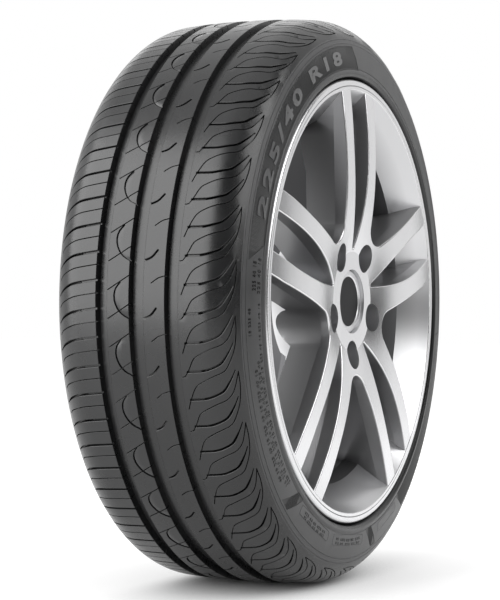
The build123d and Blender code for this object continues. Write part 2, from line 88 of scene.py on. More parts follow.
# Points of the outline's long arcs, its ridge and the bead's heel, and the step that its normal is read over
ARC_POINTS = 40
RIDGE_POINTS = 9
HEEL_POINTS = 3
NORMAL_STEP = 0.4

# How far the tread's patch runs past the shoulder, its step across, and its steps round in one unit
PATCH_SKIRT = 5.0
STEP_ACROSS = 7.2
STEPS_ROUND = 8

# Step along a smooth tread line, how far past a unit's ends a cut's line still counts, and the least room
# between a groove's edge and a row of the net
LINE_STEP = 3.6
CUT_REACH = 1.0
GROOVE_CLEAR = 0.8

# Points of a flat net that are nearer than this are one, and the decimals that its rows are rounded to
NET_MERGE = 1e-4
NET_DECIMALS = 6

# Degrees of tread to millimetres round it
ROUND_MM = pi / 180 * RIB_TOP[1]

# Tread lines of one pitch or one two-pitch unit, as (distance across, degrees round)
INNER_LATERAL = [(43.5, -3.92), (48, -3.82), (70, -3.3), (80, -2.9), (90, -2.0), (97, -0.8)]
INNER_SIPE = [(43.5, -1.45), (48, -1.38), (70, -0.85), (80, -0.4), (91.4, 0.55), (95.7, 1.4)]
RIB_SLANT = [(36, -1.73), (8, -4.76)]
RIB_CURL = [(19.3, -3.4), (24.5, -2.3), (26.4, -0.9), (24.8, 0.6), (20.3, 1.96), (14.5, 2.8), (8, 3.35)]
RIB_NOTCH = [(-5.5, 3.36), (-15, 2.7), (-21.6, 1.4)]
RIB_STUB = [(-32.5, -4.55), (-23.5, -4.1), (-16, -3.2)]
OUTER_LATERAL = [(-52.9, -2.9), (-69.3, -3.05), (-80, -3.6), (-87, -4.2), (-91, -5.1), (-95.7, -6.65),
                 (-98.6, -8.0)]
OUTER_TAIL = [(-44.5, 3.42), (-50, 3.25), (-52.9, 2.5), (-56.4, 1.3), (-60.7, -0.1), (-70, -1.1),
              (-80, -1.9), (-90, -2.6), (-95.7, -3.95), (-99.3, -6.3), (-100.7, -7.7)]
OUTER_LEAF = [(-100.7, -7.7), (-101, -4.7), (-99.3, -1.6), (-95, 0.9), (-90, 2.5), (-80, 3.3),
              (-70, 4.1), (-60, 5.3), (-52.9, 7.8), (-49.3, 9.5)]

# Grooves that run round the tread: middle and width at the top
ROUND_GROOVES = ((41.2, 13.3), (1.1, 16.3), (-38.3, 14.7))

# Shoulder grooves: where and over what length they get shallow towards the ribs, and where they end
LATERAL_TIE_Y = 69.0
TIE_RUN = 0.8
INNER_TIP_Y = 97.0
OUTER_TIP_Y = 98.6

# Shares of depth and width that a shoulder groove loses at its tip and over what length, and the width of
# its sloping wall
TIP_RISE = 0.75
TIP_RISE_RUN = 14.0
TIP_NARROW = 0.62
TIP_NARROW_RUN = 12.0
LATERAL_WALL = 0.28

# Thin cuts: their share of the worn edge, and the width of their sloping wall
SIPE_EDGE_SHARE = 0.4
SIPE_WALL = 0.2

# Notches: their share of the shoulder grooves' width, and the width of their sloping wall
NOTCH_SHARE = 0.8
NOTCH_WALL = 0.25

# Depth of the slope beside the curled cut
CURL_DEPTH = 1.1

# Depth of a worn edge as a share of its width
WORN_SHARE = 0.8


class TyreSettings(bpy.types.PropertyGroup):
    """Sizes and finish of the tyre"""

    units: IntProperty(
        name="Tread Units",
        description="Repeats of the tread pattern round the tyre",
        default=34,
        min=8,
    )
    groove_depth: FloatProperty(
        name="Groove Depth",
        description="Depth of the three grooves round the tread",
        default=7.5 * MM,
        unit="LENGTH",
    )
    groove_draft: FloatProperty(
        name="Groove Draft",
        description="Lean of the walls of those grooves",
        default=radians(9),
        subtype="ANGLE",
    )
    lateral_width: FloatProperty(
        name="Lateral Width",
        description="Width of the shoulder grooves",
        default=2.4 * MM,
        unit="LENGTH",
    )
    lateral_depth: FloatProperty(
        name="Lateral Depth",
        description="Depth of the shoulder grooves",
        default=6.5 * MM,
        unit="LENGTH",
    )
    tie_depth: FloatProperty(
        name="Tie Depth",
        description="Depth of the shoulder grooves beside the ribs",
        default=3.2 * MM,
        unit="LENGTH",
    )
    sipe_width: FloatProperty(
        name="Sipe Width",
        description="Width of the thin cuts",
        default=1.0 * MM,
        unit="LENGTH",
    )
    sipe_depth: FloatProperty(
        name="Sipe Depth",
        description="Depth of the thin cuts",
        default=4.0 * MM,
        unit="LENGTH",
    )
    notch_depth: FloatProperty(
        name="Notch Depth",
        description="Depth of the notches in the ribs",
        default=5.0 * MM,
        unit="LENGTH",
    )
    curl_chamfer: FloatProperty(
        name="Curl Chamfer",
        description="Width of the slope beside the curled cut",
        default=3.0 * MM,
        unit="LENGTH",
    )
    edge: FloatProperty(
        name="Edge",
        description="Width of the worn corner along every groove",
        default=0.35 * MM,
        unit="LENGTH",
    )
    panel_depth: FloatProperty(
        name="Panel Depth",
        description="Depth of the serrated panels in the sidewall",
        default=0.6 * MM,
        unit="LENGTH",
    )
    serration_pitch: FloatProperty(
        name="Serration Pitch",
        description="Spacing of the fine ribs in the panels",
        default=1.6 * MM,
        unit="LENGTH",
    )
    colour: FloatVectorProperty(
        name="Rubber",
        description="Colour of the tread's rubber",
        default=(0.012, 0.0122, 0.0127),
        subtype="COLOR",
        min=0,
        max=1,
    )
    wall_colour: FloatVectorProperty(
        name="Sidewall",
        description="Colour of the sidewalls",
        default=(0.07, 0.0703, 0.0716),
        subtype="COLOR",
        min=0,
        max=1,
    )
    roughness: FloatProperty(
        name="Roughness",
        description="Roughness of the tread's rubber",
        default=0.28,
        min=0,
        max=1,
    )
    tread_gloss: FloatProperty(
        name="Tread Gloss",
        description="Specular level of the tread",
        default=0.5,
        min=0,
        max=1,
    )
    wall_gloss: FloatProperty(
        name="Sidewall Gloss",
        description="Specular level of the sidewalls",
        default=0.4,
        min=0,
        max=1,
    )


class FigureSettings(bpy.types.PropertyGroup):
    """Plain size figures on the outer sidewall"""

    text: StringProperty(
        name="Figures",
        description="Plain size figures on the long panel",
        default="225/40 R18",
    )
    height: FloatProperty(
        name="Height",
        description="Height of the large figures",
        default=14.0 * MM,
        unit="LENGTH",
    )
    relief: FloatProperty(
        name="Relief",
        description="Height of the large figures above the panel",
        default=0.75 * MM,
        unit="LENGTH",
    )
    small_relief: FloatProperty(
        name="Small Relief",
        description="Height of the small figures above the wall",
        default=0.3 * MM,
        unit="LENGTH",
    )
    colour: FloatVectorProperty(
        name="Figure Colour",
        description="Colour of the large figures",
        default=(0.13, 0.1303, 0.132),
        subtype="COLOR",
        min=0,
        max=1,
    )


class WheelSettings(bpy.types.PropertyGroup):
    """Finish of the wheel, its cap and its valve"""

    alloy: FloatVectorProperty(
        name="Alloy",
        description="Colour of the wheel's turned fronts",
        default=(0.70, 0.70, 0.71),
        subtype="COLOR",
        min=0,
        max=1,
    )
    # Painted shade: the spokes' flanks that face aside get this darker colour in place of the turned silver
    flank_shade: FloatVectorProperty(
        name="Flanks",
        description="Colour of the spokes' flanks",
        default=(0.38, 0.38, 0.386),
        subtype="COLOR",
        min=0,
        max=1,
    )
    # Painted shade: near-black colour painted deep in the barrel, where the silver lies in shade
    barrel: FloatVectorProperty(
        name="Barrel",
        description="Colour deep in the barrel",
        default=(0.06, 0.06, 0.062),
        subtype="COLOR",
        min=0,
        max=1,
    )
    alloy_roughness: FloatProperty(
        name="Alloy Roughness",
        description="Roughness of the wheel's turned fronts",
        default=0.24,
        min=0,
        max=1,
    )
    cap_silver: FloatVectorProperty(
        name="Cap Ring",
        description="Colour of the cap's ring",
        default=(0.7, 0.7, 0.71),
        subtype="COLOR",
        min=0,
        max=1,
    )
    cap_dark: FloatVectorProperty(
        name="Cap Plate",
        description="Colour of the cap's plate",
        default=(0.01, 0.01, 0.011),
        subtype="COLOR",
        min=0,
        max=1,
    )
    spring_steel: FloatVectorProperty(
        name="Spring Steel",
        description="Colour of the cap's spring ring",
        default=(0.5, 0.5, 0.52),
        subtype="COLOR",
        min=0,
        max=1,
    )
    brass: FloatVectorProperty(
        name="Brass",
        description="Colour of the valve's stem and core",
        default=(0.75, 0.58, 0.28),
        subtype="COLOR",
        min=0,
        max=1,
    )
    valve_rubber: FloatVectorProperty(
        name="Valve Rubber",
        description="Colour of the valve's rubber",
        default=(0.03, 0.03, 0.031),
        subtype="COLOR",
        min=0,
        max=1,
    )
    valve_cap: FloatVectorProperty(
        name="Valve Cap",
        description="Colour of the valve's dust cap",
        default=(0.022, 0.022, 0.023),
        subtype="COLOR",
        min=0,
        max=1,
    )


class StageSettings(bpy.types.PropertyGroup):
    """Place of the camera and strength of the lamps"""

    lens: FloatProperty(
        name="Lens",
        description="Focal length in millimetres",
        default=124.66,
        min=20,
    )
    azimuth: FloatProperty(
        name="Azimuth",
        description="Where the camera stands round the object",
        default=radians(-65.192),
        subtype="ANGLE",
    )
    distance: FloatProperty(
        name="Distance",
        description="Camera to target",
        default=2.378985,
        unit="LENGTH",
    )
    slide: FloatProperty(
        name="Slide",
        description="Target's shift to the camera's right",
        default=-0.019533,
        unit="LENGTH",
    )
    lift: FloatProperty(
        name="Lift",
        description="Target's height",
        default=0.001148,
        unit="LENGTH",
    )
    roll: FloatProperty(
        name="Roll",
        description="Camera roll",
        default=radians(0.238),
        subtype="ANGLE",
    )
    key: FloatProperty(
        name="Key",
        description="Radiance of the lamp at the tread's side",
        default=3.8,
        min=0,
    )
    side: FloatProperty(
        name="Side",
        description="Radiance of the lamp at the sidewall",
        default=3.6,
        min=0,
    )
    back: FloatProperty(
        name="Back",
        description="Radiance of the lamp behind the object",
        default=0.95,
        min=0,
    )


# Points of an arc from one point to another that bulges to the left by a height
def bulge_arc(start, end, height, count):
    start, end = np.array(start, float), np.array(end, float)
    chord = end - start
    length = np.hypot(*chord)
    radius = (length * length / 4 + height * height) / (2 * abs(height))
    left = np.array([-chord[1], chord[0]]) / length * np.sign(height)
    centre = (start + end) / 2 + left * (abs(height) - radius)
    first = atan2(*(start - centre)[::-1])
    last = atan2(*(end - centre)[::-1])
    turn = (last - first + pi) % (2 * pi) - pi
    angles = first + turn * np.linspace(0, 1, count)
    return [tuple(centre + radius * np.array([cos(a), sin(a)])) for a in angles]


# Height of the arc that leaves a point along a direction and ends at another point
def tangent_height(start, end, direction):
    chord = np.subtract(end, start)
    angle = atan2(chord[1], chord[0]) - atan2(direction[1], direction[0])
    return -np.hypot(*chord) / 2 * tan(angle / 2)


# Outside of the tyre's section as a line that can be read by its length
class Outline:
    def __init__(self):
        slope = np.subtract(CROWN_EDGE, RIB_EDGE)
        shoulder_height = tangent_height(CROWN_EDGE, SHOULDER, slope)
        points = [RIB_TOP, RIB_EDGE]
        points += bulge_arc(CROWN_EDGE, SHOULDER, shoulder_height, ARC_POINTS)
        points += bulge_arc(SHOULDER, RIDGE_TOP, SIDEWALL_BULGE, ARC_POINTS)[1:]
        points += bulge_arc(RIDGE_TOP, RIDGE_FOOT, RIDGE_MID[0] - RIDGE_TOP[0], RIDGE_POINTS)[1:]
        self.y, self.r = np.array(points).T
        self.s = np.concatenate([[0], np.cumsum(np.hypot(np.diff(self.y), np.diff(self.r)))])

    def along(self, y):
        """Length from the middle of the tread to a distance across it, with its sign"""
        shoulder = int(np.argmin(np.abs(self.r - SHOULDER[1])))
        return np.sign(y) * np.interp(np.abs(y), self.y[: shoulder + 1], self.s[: shoulder + 1])

    def at_radius(self, radius):
        """Length from the middle of the tread down to a radius on the sidewall"""
        return np.interp(-np.asarray(radius, float), -self.r[1:], self.s[1:])

    def place(self, s, depth):
        """Distance across and radius of points at a length, sunk by a depth along the surface's normal"""
        size = np.abs(s)
        y = np.interp(size, self.s, self.y)
        r = np.interp(size, self.s, self.r)
        ahead, behind = size + NORMAL_STEP, np.maximum(size - NORMAL_STEP, 0)
        dy = np.interp(ahead, self.s, self.y) - np.interp(behind, self.s, self.y)
        dr = np.interp(ahead, self.s, self.r) - np.interp(behind, self.s, self.r)
        run = np.hypot(dy, dr)
        y, r = y + dr / run * depth, r - dy / run * depth
        return np.sign(s) * y, r


OUTLINE = Outline()
PATCH_END = OUTLINE.along(SHOULDER[0]) + PATCH_SKIRT


# Smooth line through points, with steps of about one length
def smooth_line(points):
    points = np.array(points, float)
    padded = np.vstack([2 * points[0] - points[1], points, 2 * points[-1] - points[-2]])
    line = []
    for a, b, c, d in zip(padded, padded[1:], padded[2:], padded[3:]):
        count = max(1, int(round(np.hypot(*(c - b)) / LINE_STEP)))
        square = 2 * a - 5 * b + 4 * c - d
        cube = 3 * b - a - 3 * c + d
        for u in np.arange(count) / count:
            line.append(0.5 * (2 * b + (c - a) * u + square * u**2 + cube * u**3))
    return np.array(line + [points[-1]])


# Sideways directions of a line at its points, to its left
def sideways(line):
    ahead = np.vstack([line[1:], 2 * line[-1] - line[-2]]) - np.vstack([2 * line[0] - line[1], line[:-1]])
    ahead /= np.linalg.norm(ahead, axis=1)[:, None]
    return np.stack([-ahead[:, 1], ahead[:, 0]], 1)


# Distance from points to a line, with the place along it and the side they lie on
def line_distance(points, line):
    a, b = line[:-1], line[1:]
    run = b - a
    length2 = (run**2).sum(1)
    rel = points[:, None] - a[None]
    u = np.clip((rel * run[None]).sum(2) / length2[None], 0, 1)
    gap = rel - u[..., None] * run[None]
    distance = np.hypot(gap[..., 0], gap[..., 1])
    best = distance.argmin(1)
    rows = np.arange(len(points))
    cross = run[best, 0] * rel[rows, best, 1] - run[best, 1] * rel[rows, best, 0]
    return distance[rows, best], best + u[rows, best], np.sign(cross)


# Cut along a line, with a width and a depth at each of its points
class Cut:
    # Play that gives a point on an outline that outline's depth, and the least width to divide by
    SLACK = 0.03
    LEAST = 1e-3
    # Most of the half width that a wall takes, and the turns of the points round an end, in degrees
    WALL_SHARE = 0.6
    END_TURNS = (-45, 0, 45)

    def __init__(self, points, half, depth, wall, edge):
        self.line = points
        self.half = np.broadcast_to(np.asarray(half, float), len(points)).copy()
        self.depth = np.broadcast_to(np.asarray(depth, float), len(points)).copy()
        self.wall = np.minimum(wall, self.half * self.WALL_SHARE)
        self.edge = np.broadcast_to(np.asarray(edge, float), len(points)).copy()

    def moved(self, across, around):
        """Copy of the cut, shifted on the flat tread"""
        return Cut(self.line + (across, around), self.half, self.depth, self.wall, self.edge)

    def outlines(self):
        """Closed outlines of the cut: the worn edge, the wall's top and its foot"""
        side = sideways(self.line)
        first, last = side[0], side[-1]
        for offset in (self.half + self.edge, self.half, self.half - self.wall):
            left = self.line + side * offset[:, None]
            right = self.line - side * offset[:, None]
            cap_a, cap_b = [], []
            for angle in self.END_TURNS:
                c, s = cos(radians(angle)), sin(radians(angle))
                cap_b.append(self.line[-1] + offset[-1] * (np.array([last[1], -last[0]]) * c - last * s))
                cap_a.append(self.line[0] + offset[0] * (np.array([-first[1], first[0]]) * c + first * s))
            yield np.vstack([left, cap_b, right[::-1], cap_a])

    def sink(self, points):
        """Depth of the cut at points"""
        distance, place, _ = line_distance(points, self.line)
        index = np.arange(len(self.line))
        half, depth, wall, edge = (
            np.interp(place, index, values) for values in (self.half, self.depth, self.wall, self.edge))
        out = distance - half
        worn = np.minimum(edge * WORN_SHARE, depth)
        on_wall = np.clip((out + wall - self.SLACK) / (wall - 2 * self.SLACK), 0, 1)
        on_edge = np.clip((out - self.SLACK) / np.maximum(edge - 2 * self.SLACK, self.LEAST), 0, 1)
        return np.where(out < 0, depth + (worn - depth) * on_wall, worn * (1 - on_edge))


# Slope beside a cut, on one side of its line
class Slope:
    def __init__(self, points, width, depth):
        self.line, self.width, self.depth = points, width, depth

    def moved(self, across, around):
        """Copy of the slope, shifted on the flat tread"""
        return Slope(self.line + (across, around), self.width, self.depth)

    def outlines(self):
        """Closed outline of the slope"""
        side = sideways(self.line)
        yield np.vstack([self.line, (self.line + side * self.width)[::-1]])

    def sink(self, points):
        """Depth of the slope at points"""
        distance, place, side = line_distance(points, self.line)
        inside = (side > 0) & (place > 0) & (place < len(self.line) - 1)
        return np.where(inside, self.depth * np.clip(1 - distance / self.width, 0, 1), 0)


# Grooves that run round the tread, as depth by length across
class RoundGrooves:
    def __init__(self, depth, draft, edge):
        stops = []
        for middle, width in ROUND_GROOVES:
            lean = depth * tan(draft)
            low, high = OUTLINE.along(middle - width / 2), OUTLINE.along(middle + width / 2)
            stops += [(low - edge, 0), (low, edge * WORN_SHARE), (low + lean, depth)]
            stops += [(high - lean, depth), (high, edge * WORN_SHARE), (high + edge, 0)]
        self.s, self.depths = np.array(sorted(stops)).T

    def sink(self, points):
        """Depth of the grooves at points"""
        return np.interp(points[:, 0], self.s, self.depths, left=0, right=0)


# Tread line given across the tyre in millimetres and round it in degrees, laid out flat
def laid_out(points):
    return smooth_line([(OUTLINE.along(y), degrees * ROUND_MM) for y, degrees in points])


# Share from one value to another, smoothly
def ease(value, low, high):
    u = np.clip((value - low) / (high - low), 0, 1)
    return u * u * (3 - 2 * u)


# All cuts of one unit of the tread, which is two pitches long
def tread_cuts(tyre):
    edge = tyre.edge / MM
    half = tyre.lateral_width / MM / 2
    deep, tie = tyre.lateral_depth / MM, tyre.tie_depth / MM
    thin, sipe = tyre.sipe_width / MM / 2, tyre.sipe_depth / MM
    pitch = 180 / tyre.units
    tie_s = OUTLINE.along(LATERAL_TIE_Y)
    cuts = []

    def lateral(points, tip_y):
        line = laid_out(points)
        across = np.abs(line[:, 0])
        tip_s = OUTLINE.along(tip_y)
        depth = tie + (deep - tie) * ease(across, tie_s - TIE_RUN, tie_s + TIE_RUN)
        depth *= 1 - TIP_RISE * ease(across, tip_s - TIP_RISE_RUN, tip_s)
        width = half * (1 - TIP_NARROW * ease(across, tip_s - TIP_NARROW_RUN, tip_s))
        return Cut(line, width, depth, LATERAL_WALL, edge)

    def sipe_cut(points):
        return Cut(laid_out(points), thin, sipe, SIPE_WALL, edge * SIPE_EDGE_SHARE)

    for step in (0, 1):
        turn = step * pitch * ROUND_MM
        cuts.append(lateral(INNER_LATERAL, INNER_TIP_Y).moved(0, turn))
        cuts.append(lateral(OUTER_LATERAL, OUTER_TIP_Y).moved(0, turn))
        cuts.append(sipe_cut(INNER_SIPE).moved(0, turn))
        cuts.append(sipe_cut(RIB_SLANT).moved(0, turn))
    for points in (RIB_CURL, RIB_STUB, OUTER_TAIL, OUTER_LEAF):
        cuts.append(sipe_cut(points))
    cuts.append(Cut(laid_out(RIB_NOTCH), half * NOTCH_SHARE, tyre.notch_depth / MM, NOTCH_WALL, edge))
    cuts.append(Slope(laid_out(RIB_CURL), tyre.curl_chamfer / MM, CURL_DEPTH))
    return cuts


# Flat mesh of triangles that has every outline among its edges, cut to a rectangle
def net(low, high, outlines, lines, points):
    verts, edges = [], []

    def chain(chain_points, closed):
        first = len(verts)
        verts.extend(chain_points)
        count = len(chain_points)
        edges.extend((first + i, first + i + 1) for i in range(count - 1))
        if closed:
            edges.append((first + count - 1, first))

    for outline in outlines:
        chain([tuple(p) for p in outline], True)
    for line in lines:
        chain([tuple(p) for p in line], False)
    verts.extend(tuple(p) for p in points)
    made = delaunay_2d_cdt([Vector(v) for v in verts], edges, [], 0, NET_MERGE, False)
    flat = np.array([tuple(v) for v in made[0]])
    faces = np.array([tuple(f) for f in made[2]])
    middle = flat[faces].mean(1)
    inside = ((middle > low) & (middle < high)).all(1)
    return flat, faces[inside]


# One unit of the tread as flat places, depths and triangles
def tread_unit(tyre):
    length = 2 * pi * RIB_TOP[1] / tyre.units
    low, high = np.array([-PATCH_END, 0.0]), np.array([PATCH_END, length])
    cuts = [cut.moved(0, shift * length) for cut in tread_cuts(tyre) for shift in (-1, 0, 1, 2)]
    cuts = [c for c in cuts if c.line[:, 1].max() > -CUT_REACH and c.line[:, 1].min() < length + CUT_REACH]
    grooves = RoundGrooves(tyre.groove_depth / MM, tyre.groove_draft, tyre.edge / MM)
    round_steps = np.arange(STEPS_ROUND + 1) / STEPS_ROUND * length
    across = np.linspace(-PATCH_END, PATCH_END, int(round(2 * PATCH_END / STEP_ACROSS)) + 1)
    lines = [[(s, t) for t in round_steps] for s in (*grooves.s, -PATCH_END, PATCH_END)]
    border = sorted({*np.round(across, NET_DECIMALS), *np.round(grooves.s, NET_DECIMALS)})
    lines += [[(s, t) for s in border] for t in (0.0, length)]
    keep = [s for s in across[1:-1] if np.abs(grooves.s - s).min() > GROOVE_CLEAR]
    points = [(s, t) for s in keep for t in round_steps[1:-1]]
    outlines = [outline for cut in cuts for outline in cut.outlines()]
    flat, faces = net(low, high, outlines, lines, points)
    depth = grooves.sink(flat)
    for cut in cuts:
        depth = np.maximum(depth, cut.sink(flat))
    return flat, depth, faces, length


# Ring of points from a line of (distance across, radius), as rows of one point per step
def ring_grid(section, count):
    section = np.array(section, float)
    angles = 2 * pi * np.arange(count) / count
    rows = [wheel_points(np.full(count, y), np.full(count, r), angles) for y, r in section]
    faces = []
    for i in range(len(section) - 1):
        for k in range(count):
            m = (k + 1) % count
            faces.append((i * count + k, i * count + m, (i + 1) * count + m, (i + 1) * count + k))
    return np.vstack(rows), faces


# Places in space from a distance along the axle, a radius and an angle
def wheel_points(y, r, angle):
    return np.stack([r * np.cos(angle), y, r * np.sin(angle)], 1)


# Rings of the sidewall as radius, width and depth
RING_RADII = ((292.4, 0.5, 0.4), (287.6, 0.6, 0.45), (260.0, 0.5, 0.45))

# Serrated panels of the outer sidewall: first and last angle at mid height and both ends' lean, in degrees
PANELS = (
    (91.0, 169.6, 1.7, 4.3),
    (228.4, 232.0, -4.6, -4.6),
    (278.1, 281.6, 5.0, 4.0),
    (300.0, 352.0, 4.3, 1.7),
)

# Low and high radius of the panels, the radius of the row between, and the width of a panel's sloped edge
PANEL_LOW = 258.8
PANEL_HIGH = 285.6
WALL_MIDDLE = 272.0
PANEL_EDGE = 0.5

# Fine ribs in a panel: their room to its edge, the play in that, their height, and the places tried along one
SERRATION_MARGIN = 1.6
SERRATION_PLAY = 0.5
SERRATION_HEIGHT = 0.35
SERRATION_PROBES = 60

# Rounded outlines on the outer sidewall as first and last angle, low and high radius
BOXES = ((234.6, 252.4, 263.0, 274.0), (255.4, 274.0, 263.4, 274.6), (284.4, 297.0, 263.2, 274.2))
BOX_CORNER = 3.0
BOX_CORNER_POINTS = 5

# Line of these outlines: half width, depth, and the widths of its sloping wall and its worn edge
BOX_HALF = 0.35
BOX_DEPTH = 0.4
BOX_WALL = 0.2
BOX_EDGE = 0.05

# Millimetres round the sidewall for a degree
WALL_MM = pi / 180 * WALL_MIDDLE


# How far flat places of the sidewall lie inside a panel, whose ends lean
def panel_gap(panel, flat):
    first, last, first_lean, last_lean = panel
    high, low = OUTLINE.at_radius([PANEL_HIGH, PANEL_LOW])
    lean = 0.5 - (flat[:, 0] - high) / (low - high)
    start = (first + first_lean * lean) * WALL_MM
    end = (last + last_lean * lean) * WALL_MM
    return np.minimum.reduce([flat[:, 0] - high, low - flat[:, 0], flat[:, 1] - start, end - flat[:, 1]])


# Flat outline of a panel, drawn in by an offset
def panel_outline(panel, offset):
    first, last, first_lean, last_lean = panel
    high, low = OUTLINE.at_radius([PANEL_HIGH, PANEL_LOW])
    shift = offset / WALL_MM
    count = max(3, int(last - first))
    top = np.linspace(first + first_lean / 2 + shift, last + last_lean / 2 - shift, count)
    foot = np.linspace(last - last_lean / 2 - shift, first - first_lean / 2 + shift, count)
    return [(high + offset, a * WALL_MM) for a in top] + [(low - offset, a * WALL_MM) for a in foot]


# Closed flat line of a box with round corners
def rounded_box(first, last, low, high):
    s0, s1 = OUTLINE.at_radius([high, low])
    t0, t1 = first * WALL_MM, last * WALL_MM
    corners = ((s1, t1, 0), (s0, t1, 90), (s0, t0, 180), (s1, t0, 270))
    points = []
    for s, t, turn in corners:
        centre_s = s - BOX_CORNER if s == s1 else s + BOX_CORNER
        centre_t = t - BOX_CORNER if t == t1 else t + BOX_CORNER
        for angle in np.radians(turn + np.linspace(0, 90, BOX_CORNER_POINTS)):
            points.append((centre_s + BOX_CORNER * cos(angle), centre_t + BOX_CORNER * sin(angle)))
    return np.array(points + points[:1])


# One sidewall below the tread's patch: flat places, depths, triangles and whether each lies in a panel
def sidewall(tyre, outer):
    top, foot = PATCH_END, OUTLINE.s[-1]
    count = tyre.units * STEPS_ROUND
    degrees = np.linspace(0, 360, count + 1)
    low, high = np.array([top, 0.0]), np.array([foot, 360 * WALL_MM])
    rows = [top, foot]
    depths = [(top, 0.0)]
    for radius, width, depth in RING_RADII:
        s = OUTLINE.at_radius(radius)
        rows += [s - width, s - width / 2, s + width / 2, s + width]
        depths += [(s - width, 0), (s - width / 2, depth), (s + width / 2, depth), (s + width, 0)]
    rows += list(OUTLINE.at_radius([PANEL_HIGH, WALL_MIDDLE, PANEL_LOW]))
    rows += list(OUTLINE.s[-RIDGE_POINTS:-1:2])
    rows = sorted(set(np.round(rows, NET_DECIMALS)))
    lines = [[(s, d * WALL_MM) for d in degrees] for s in rows]
    lines += [[(s, d * WALL_MM) for s in rows] for d in (0.0, 360.0)]
    panels = PANELS if outer else ()
    lined = BOXES if outer else ()
    boxes = [Cut(rounded_box(*box), BOX_HALF, BOX_DEPTH, BOX_WALL, BOX_EDGE) for box in lined]
    outlines = [outline for box in boxes for outline in box.outlines()]
    step = tyre.serration_pitch / MM / 2
    panel_s = OUTLINE.at_radius([PANEL_HIGH, PANEL_LOW])
    for panel in panels:
        outlines += [panel_outline(panel, 0.0), panel_outline(panel, PANEL_EDGE)]
        for mark in np.arange(panel[0] * WALL_MM, panel[1] * WALL_MM, step):
            ends = np.array([(s, mark) for s in np.linspace(*panel_s, SERRATION_PROBES)])
            ends = ends[panel_gap(panel, ends) > SERRATION_MARGIN]
            if len(ends) > 1:
                lines.append([tuple(ends[0]), tuple(ends[-1])])
    flat, faces = net(low, high, outlines, lines, [])
    ring_s, ring_d = np.array(sorted(depths)).T
    depth = np.interp(flat[:, 0], ring_s, ring_d, left=0, right=0)
    middle = flat[faces].mean(1)
    in_panel = np.zeros(len(faces), bool)
    for box in boxes:
        depth = np.maximum(depth, box.sink(flat))
    for panel in panels:
        gap = panel_gap(panel, flat)
        sunk = np.clip(gap / PANEL_EDGE, 0, 1) * tyre.panel_depth / MM
        around = flat[:, 1]
        start, end = panel[0] * WALL_MM, panel[1] * WALL_MM
        rib = np.abs((((around - start) / step) % 2) - 1)
        ribbed = (gap > SERRATION_MARGIN - SERRATION_PLAY) & (around > start) & (around < end)
        depth = np.maximum(depth, sunk - np.where(ribbed, SERRATION_HEIGHT * (1 - rib), 0))
        in_panel |= panel_gap(panel, middle) > 0
    return flat, depth, faces, in_panel


# Material with its own node tree, ready for nodes
def new_material(name):
    material = bpy.data.materials.new(name)
    material.use_nodes = True
    nodes = material.node_tree.nodes
    return material, nodes, material.node_tree.links, nodes["Principled BSDF"]


# Noise of a size in metres, in the object's own coordinates
def noise(nodes, links, size, detail=3.0):
    place = nodes.new("ShaderNodeTexCoord")
    texture = nodes.new("ShaderNodeTexNoise")
    texture.inputs["Scale"].default_value = 1 / size
    texture.inputs["Detail"].default_value = detail
    links.new(place.outputs["Object"], texture.inputs["Vector"])
    return texture


# Range of a noise over which tone and roughness run, and the detail of a fine one
NOISE_LOW = 0.3
NOISE_HIGH = 0.7
FINE_DETAIL = 2.0


# Value that runs between two numbers as another value runs over its range
def spread_between(nodes, links, source, low, high, start=NOISE_LOW, end=NOISE_HIGH):
    spread = nodes.new("ShaderNodeMapRange")
    spread.inputs["From Min"].default_value = start
    spread.inputs["From Max"].default_value = end
    spread.inputs["To Min"].default_value = low
    spread.inputs["To Max"].default_value = high
    links.new(source, spread.inputs["Value"])
    return spread.outputs["Result"]


# Colour that runs between two shades as a texture does
def shade_between(nodes, links, source, dark, light):
    ramp = nodes.new("ShaderNodeValToRGB")
    ramp.color_ramp.elements[0].position = NOISE_LOW
    ramp.color_ramp.elements[1].position = NOISE_HIGH
    ramp.color_ramp.elements[0].color = (*dark, 1)
    ramp.color_ramp.elements[1].color = (*light, 1)
    links.new(source, ramp.inputs["Fac"])
    return ramp.outputs["Color"]


# Bump of a height in metres from a texture
def bump(nodes, links, source, height):
    node = nodes.new("ShaderNodeBump")
    node.inputs["Strength"].default_value = 1.0
    node.inputs["Distance"].default_value = height
    links.new(source, node.inputs["Height"])
    return node.outputs["Normal"]


# Rubber: sizes of its cloudy tone and its skin, the skin's height in metres, and how far the tone varies
RUBBER_CLOUD = 0.03
RUBBER_SKIN = 0.0006
RUBBER_SKIN_HEIGHT = 0.00004
RUBBER_TONE = 0.1

# How far the roughness of rubber and plastic varies
ROUGH_SPREAD = 0.03


# Moulded rubber: a soft sheen, cloudy tone and a fine skin
def rubber_material(name, colour, roughness, specular=0.5):
    material, nodes, links, shader = new_material(name)
    cloud = noise(nodes, links, RUBBER_CLOUD)
    skin = noise(nodes, links, RUBBER_SKIN, FINE_DETAIL)
    dark = tuple(c * (1 - RUBBER_TONE) for c in colour)
    light = tuple(c * (1 + RUBBER_TONE) for c in colour)
    links.new(shade_between(nodes, links, cloud.outputs["Fac"], dark, light), shader.inputs["Base Color"])
    smooth, rough = roughness - ROUGH_SPREAD, roughness + ROUGH_SPREAD
    links.new(spread_between(nodes, links, cloud.outputs["Fac"], smooth, rough), shader.inputs["Roughness"])
    links.new(bump(nodes, links, skin.outputs["Fac"], RUBBER_SKIN_HEIGHT), shader.inputs["Normal"])
    shader.inputs["Specular IOR Level"].default_value = specular
    return material


# Product of two values
def times(nodes, links, first, second):
    product = nodes.new("ShaderNodeMath")
    product.operation = "MULTIPLY"
    links.new(first, product.inputs[0])
    links.new(second, product.inputs[1])
    return product.outputs["Value"]


